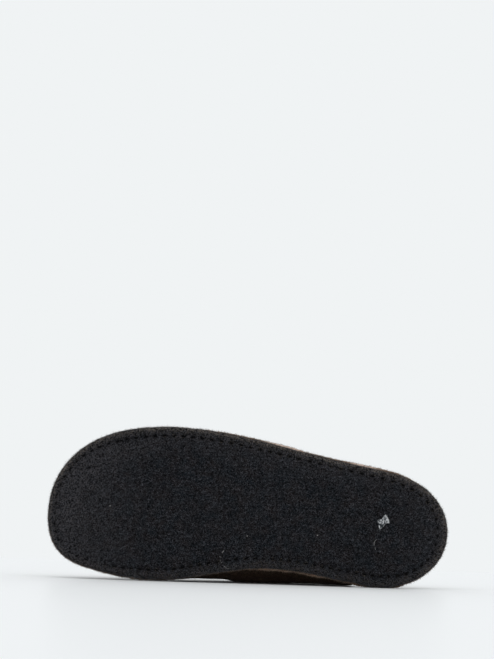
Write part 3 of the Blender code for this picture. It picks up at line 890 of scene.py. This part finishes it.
def loose_fibres(name, piece, count, lengths, width, stand, weight, seed):
    """Bent tapering fibres on a piece: stand is their rise from lying flat, weight favours some faces."""
    mesh = piece.data
    mesh.calc_loop_triangles()
    corners = np.empty(len(mesh.loop_triangles) * 3, dtype=np.int32)
    mesh.loop_triangles.foreach_get("vertices", corners)
    corners = points_of(piece)[corners].reshape(-1, 3, 3)
    normal = np.cross(corners[:, 1] - corners[:, 0], corners[:, 2] - corners[:, 0])
    area = np.linalg.norm(normal, axis=1)
    normal /= np.maximum(area, 1e-12)[:, None]
    chance = area * weight(to_shoe(corners.mean(axis=1)), normal @ shoe_turn)
    picker = np.random.default_rng(seed)
    chosen = picker.choice(len(area), size=count, p=chance / chance.sum())
    first = np.sqrt(picker.random(count))
    second = picker.random(count)
    shares = np.column_stack((1.0 - first, first * (1.0 - second), first * second))
    root = (corners[chosen] * shares[:, :, None]).sum(axis=1)
    out = normal[chosen]
    flat = np.cross(out, picker.normal(size=(count, 3)))
    flat /= np.linalg.norm(flat, axis=1)[:, None]
    rise = stand[0] + (stand[1] - stand[0]) * picker.random(count)[:, None]
    grow = out * rise + flat * np.sqrt(1.0 - rise ** 2)
    bend = np.cross(grow, picker.normal(size=(count, 3)))
    length = (lengths[0] + (lengths[1] - lengths[0]) * picker.random(count)[:, None] ** 2) * MM
    across = np.cross(grow, picker.normal(size=(count, 3)))
    across *= 0.5 * width * MM / np.linalg.norm(across, axis=1)[:, None]
    middle, tip = (root + grow * length * along + bend * length * aside
                   for along, aside in (FIBRE_MIDDLE, FIBRE_TIP))
    narrow = across * FIBRE_TAPER
    rows = np.stack((root - across, root + across, middle + narrow, middle - narrow, tip), axis=1)
    rows[:, :, 2] = np.maximum(rows[:, :, 2], FIBRE_ON_FLOOR * MM)
    base = np.arange(count)[:, None] * 5
    quads = (base + np.array((0, 1, 2, 3))).tolist()
    tips = (base + np.array((3, 2, 4))).tolist()
    fibres = new_object(name, bpy.data.meshes.new(name))
    fibres.data.from_pydata(rows.reshape(-1, 3), [], quads + tips)
    fibres.data.shade_smooth()
    return fibres


def tread_and_edge(place, facing):
    """Favour the tread and the sole's side over its hidden top, and keep out of the pits of the seam."""
    side_share = (np.abs(facing[:, 2]) < FLAT_FACING) * EDGE_FAVOUR
    clear_share = 1.0 - np.minimum(1.0, PIT_CLEAR * stitch_pit(*nearest(seam_tree, place[:, :2])))
    return np.where(facing[:, 2] > FLAT_FACING, 0.0, 1.0 + side_share) * clear_share


def edge_only(place, facing):
    """Only the cut edge of a layer."""
    return (np.abs(facing[:, 2]) < EDGE_FACING) * 1.0


def evenly(place, facing):
    """The whole skin alike."""
    return np.ones(len(place))


for name, piece, count, lengths, width, stand, weight, dark, light, finish in (
    ("outsole_fibres", outsole, 22000, (0.8, 3.0), 0.10, (0.05, 0.8), tread_and_edge,
     "131316", "3E3E44", "black_felt"),
    ("tread_lying_fibres", outsole, 9000, (1.0, 3.2), 0.15, (0.02, 0.2), tread_and_edge,
     "1C1C20", "7C7C84", "black_felt"),
    ("edge_fuzz", outsole, 7000, (0.6, 2.2), 0.14, (0.3, 1.0), edge_only,
     "2C2A29", "857D75", "black_felt"),
    ("midsole_fibres", midsole, 8000, (0.6, 2.2), 0.14, (0.1, 0.9), edge_only,
     "6B5A4D", "B09E8D", "brown_layer"),
    ("upper_fibres", upper, 16000, (0.6, 2.4), 0.08, (0.05, 0.7), evenly,
     "5C4A3D", "A08A76", "brown_felt"),
):
    fibres = loose_fibres(name, piece, count, lengths, width, stand, weight, FIBRE_SEED + len(name))
    # Wool fibre: single dull hairs of several shades, a little lighter than the felt that they come from.
    fibre_wool = new_material(name + "_wool", {"Roughness": 0.8, "Specular IOR Level": 0.05})
    fibre_place = add_node(fibre_wool, "TexCoord")
    shade = add_node(fibre_wool, "TexNoise", {"Scale": 1.0 / (SHADE_SIZE * MM), "Detail": 2.0},
                     {"Vector": fibre_place.outputs["Object"]})
    shaded = add_node(fibre_wool, "Mix", {"A": linear(dark), "B": linear(light)},
                      {"Factor": shade.outputs["Fac"]}, data_type="RGBA")
    link_surface(fibre_wool, shaded)
    fibres.data.materials.append(fibre_wool)
    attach(fibres, "root")

# Lint on the tread: two loose pale threads, broken into short lengths, and three specks. It is dirt picked up
# in walking, and lies on the felt that has caught it.
LINT_ABOVE_FELT = 0.10
LINT_END = 0.55
LINT_PATCH = 1.2
# Lengths of lint: radius, then the station and side of each point
LINT_ROWS = (
    (0.13, ((49.9, -7.5), (51.3, -9.3), (51.5, -10.6), (51.4, -11.7))),
    (0.06, ((50.9, -12.9), (50.3, -14.9))),
    (0.16, ((155.9, -18.5), (157.1, -20.2))),
    (0.07, ((158.9, -22.8), (157.5, -23.2))),
    (0.06, ((158.5, -24.9), (157.7, -26.3), (157.0, -27.7))),
    (0.07, ((155.5, -29.2), (154.0, -30.6), (151.7, -30.9))),
    (0.34, ((91.1, -5.6), (91.1, -6.2))),
    (0.34, ((140.0, -7.6), (140.0, -8.2))),
    (0.34, ((236.4, 10.9), (236.2, 10.4))),
)
lint_curves = bpy.data.curves.new("lint", "CURVE")
lint_curves.dimensions = "3D"
lint_curves.bevel_depth = 1.0 * MM
lint_curves.bevel_resolution = 2
lint_curves.use_fill_caps = True
felt_tree = KDTree(len(outsole.data.vertices))
for index, place in enumerate(points_of(outsole)):
    felt_tree.insert(place, index)
felt_tree.balance()
for radius, line in LINT_ROWS:
    strand = lint_curves.splines.new("BEZIER")
    strand.bezier_points.add(len(line) - 1)
    for order, (point, flat) in enumerate(zip(strand.bezier_points, line)):
        guess = from_shoe((flat[0], flat[1], toe_lift(flat[0])))
        ground_point, _, _ = felt_tree.find(guess)
        raised = to_shoe(ground_point)[2] - LINT_ABOVE_FELT
        point.co = from_shoe((flat[0], flat[1], raised))
        point.handle_left_type = "AUTO"
        point.handle_right_type = "AUTO"
        thin = order in (0, len(line) - 1) and len(line) > 2
        point.radius = radius * (LINT_END if thin else 1.0)
only(new_object("lint", lint_curves))
bpy.ops.object.convert(target="MESH")
lint = bpy.context.active_object
lint.data.shade_smooth()
# Cotton lint: dull and pale, patched with dark grey where dirt has got into it.
lint_cotton = new_material("pale_cotton_lint", {"Roughness": 0.8})
lint_place = add_node(lint_cotton, "TexCoord")
lint_break = add_node(lint_cotton, "TexNoise", {"Scale": 1.0 / (LINT_PATCH * MM), "Detail": 2.0},
                      {"Vector": lint_place.outputs["Object"]})
lint_tone = add_node(lint_cotton, "Mix", {"A": linear("3A3B3E"), "B": linear("D2D0CE")},
                     {"Factor": lint_break.outputs["Fac"]}, data_type="RGBA")
link_surface(lint_cotton, lint_tone)
lint.data.materials.append(lint_cotton)
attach(lint, "root")

# Scrap of thin plastic film trodden into the heel: a torn, crumpled flake about as long as a fingernail.
# It is dirt too, caught in the fibres of the felt.
SCRAP_ABOVE_FELT = 0.3
SCRAP_CRUMPLE = 0.5
SCRAP_SEED = 5
FILM_THICKNESS = 0.08
FACET_SIZE = 1.3
# The scrap's torn outline: station, side
SCRAP_OUTLINE = (
    (45.2, 9.1), (44.2, 10.0), (42.9, 9.6), (42.3, 7.8), (40.9, 5.4), (41.2, 4.1), (42.8, 4.2), (44.3, 2.9),
    (45.1, 1.5), (46.3, 0.5), (47.8, -0.6), (48.4, 0.8), (48.7, 2.8), (49.6, 6.2), (48.4, 6.9), (46.6, 6.4),
)
scrap = new_object("film_scrap", bpy.data.meshes.new("film_scrap"))
scrap_points = []
for station, side in SCRAP_OUTLINE:
    felt_point, _, _ = felt_tree.find(from_shoe((station, side, toe_lift(station))))
    scrap_points.append(from_shoe((station, side, to_shoe(felt_point)[2] - SCRAP_ABOVE_FELT)))
scrap.data.from_pydata(scrap_points, [], [tuple(range(len(scrap_points)))])
only(scrap)
edit_with("SELECT")
bpy.ops.mesh.quads_convert_to_tris()
bpy.ops.mesh.subdivide(number_cuts=2)
bpy.ops.object.mode_set(mode="OBJECT")
crumpled = to_shoe(points_of(scrap))
crumpled[:, 2] -= SCRAP_CRUMPLE * np.abs(np.random.default_rng(SCRAP_SEED).normal(size=len(crumpled)))
move_to(scrap, from_shoe(crumpled))
apply_modifier(scrap, "SOLIDIFY", thickness=FILM_THICKNESS * MM)
# Cloudy plastic film: crumpled into small facets, with a painted highlight: random cells drawn white, the
# rest grey.
cloudy_film = new_material("cloudy_plastic_film", {"Roughness": 0.5, "Specular IOR Level": 0.2})
film_place = add_node(cloudy_film, "TexCoord")
facets = add_node(cloudy_film, "TexVoronoi", {"Scale": 1.0 / (FACET_SIZE * MM)},
                  {"Vector": film_place.outputs["Object"]})
facet_share = add_node(cloudy_film, "MapRange", {"From Min": 0.34, "From Max": 0.95},
                       {"Value": facets.outputs["Color"]})
film_tone = add_node(cloudy_film, "Mix", {"A": linear("2B3034"), "B": linear("DADCDE")},
                     {"Factor": facet_share.outputs["Result"]}, data_type="RGBA")
link_surface(cloudy_film, film_tone)
scrap.data.materials.append(cloudy_film)
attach(scrap, "root")

# Floor and light of the studio: a satin white table that ends a little way behind the shoe, pale walls that
# are a shade dimmer in front, one large soft light high in front, and a camera almost level with the table.
TABLE_BACK = 0.45
TABLE_FRONT = -1.95
TABLE_HALF = 2.6
bpy.ops.object.select_all(action="DESELECT")
bpy.ops.mesh.primitive_plane_add(size=2.0)
table = bpy.context.active_object
table.name = "studio_table"
edit_with("SELECT")
bpy.ops.transform.resize(value=(TABLE_HALF, (TABLE_BACK - TABLE_FRONT) / 2.0, 1.0))
bpy.ops.transform.translate(value=(0.0, (TABLE_BACK + TABLE_FRONT) / 2.0, 0.0))
bpy.ops.object.mode_set(mode="OBJECT")
# Satin white laminate: a matt white ground under a thin rough gloss that gives back a faint blurred image.
TABLE_GLOSS = 0.19
table_white = new_material("satin_white_laminate", {})
matt = add_node(table_white, "BsdfDiffuse", {"Color": linear("F2F3F4")})
gloss = add_node(table_white, "BsdfGlossy", {"Color": linear("FFFFFF"), "Roughness": 0.30})
satin = add_node(table_white, "MixShader", {0: TABLE_GLOSS},
                 {1: matt.outputs["BSDF"], 2: gloss.outputs["BSDF"]})
table_nodes = table_white.node_tree.nodes
table_white.node_tree.links.new(satin.outputs["Shader"], table_nodes["Material Output"].inputs["Surface"])
table_nodes.remove(table_nodes["Principled BSDF"])
table.data.materials.append(table_white)

ROOM_AXIS = (0.0, 0.85, 0.55)
WALL_DIM = "C0C2C3"
WALL_PALE = "F0F3F4"
scene = bpy.context.scene
scene.view_settings.view_transform = "Standard"
world = bpy.data.worlds.new("pale_walls")
world.use_nodes = True
scene.world = world
room_place = add_node(world, "TexCoord")
room_axis = add_node(world, "VectorMath", {1: ROOM_AXIS},
                     {0: room_place.outputs["Generated"]}, operation="DOT_PRODUCT")
room_share = add_node(world, "MapRange", {"From Min": -0.35, "From Max": 0.35},
                      {"Value": room_axis.outputs["Value"]}, interpolation_type="SMOOTHSTEP")
room_tone = add_node(world, "Mix", {"A": linear(WALL_DIM), "B": linear(WALL_PALE)},
                     {"Factor": room_share.outputs["Result"]}, data_type="RGBA")
walls = world.node_tree.nodes["Background"]
world.node_tree.links.new(room_tone.outputs["Result"], walls.inputs["Color"])
walls.inputs["Strength"].default_value = 1.0

LAMP_AIM = Vector((0.15, 0.3, -1.0))
lamp_data = bpy.data.lights.new("soft_overhead", "SUN")
lamp_data.energy = 0.62
lamp_data.angle = math.radians(70.0)
lamp = new_object("soft_overhead", lamp_data)
lamp.rotation_euler = LAMP_AIM.to_track_quat("-Z", "Y").to_euler()

IMAGE_HEIGHT = 659
PIXEL_AT_SHOE = 0.7 * MM
CAMERA_AWAY = 2.0
CAMERA_HEIGHT = 0.066
CAMERA_ROLL = math.radians(1.76)
aim = Vector((-0.0045, -0.034, 0.1773))
eye = Vector((aim.x, aim.y - CAMERA_AWAY, CAMERA_HEIGHT))
ahead = (aim - eye).normalized()
right = ahead.cross(Vector((0.0, 0.0, 1.0))).normalized()
upright = right.cross(ahead)
rolled_right = right * math.cos(CAMERA_ROLL) + upright * math.sin(CAMERA_ROLL)
rolled_up = upright * math.cos(CAMERA_ROLL) - right * math.sin(CAMERA_ROLL)
camera_data = bpy.data.cameras.new("camera")
camera_data.sensor_width = 36.0
camera_data.lens = camera_data.sensor_width * (aim - eye).length / (IMAGE_HEIGHT * PIXEL_AT_SHOE)
camera_data.clip_start = 0.05
camera = new_object("camera", camera_data)
camera.matrix_world = Matrix((rolled_right, rolled_up, -ahead)).transposed().to_4x4()
camera.location = eye
scene.camera = camera
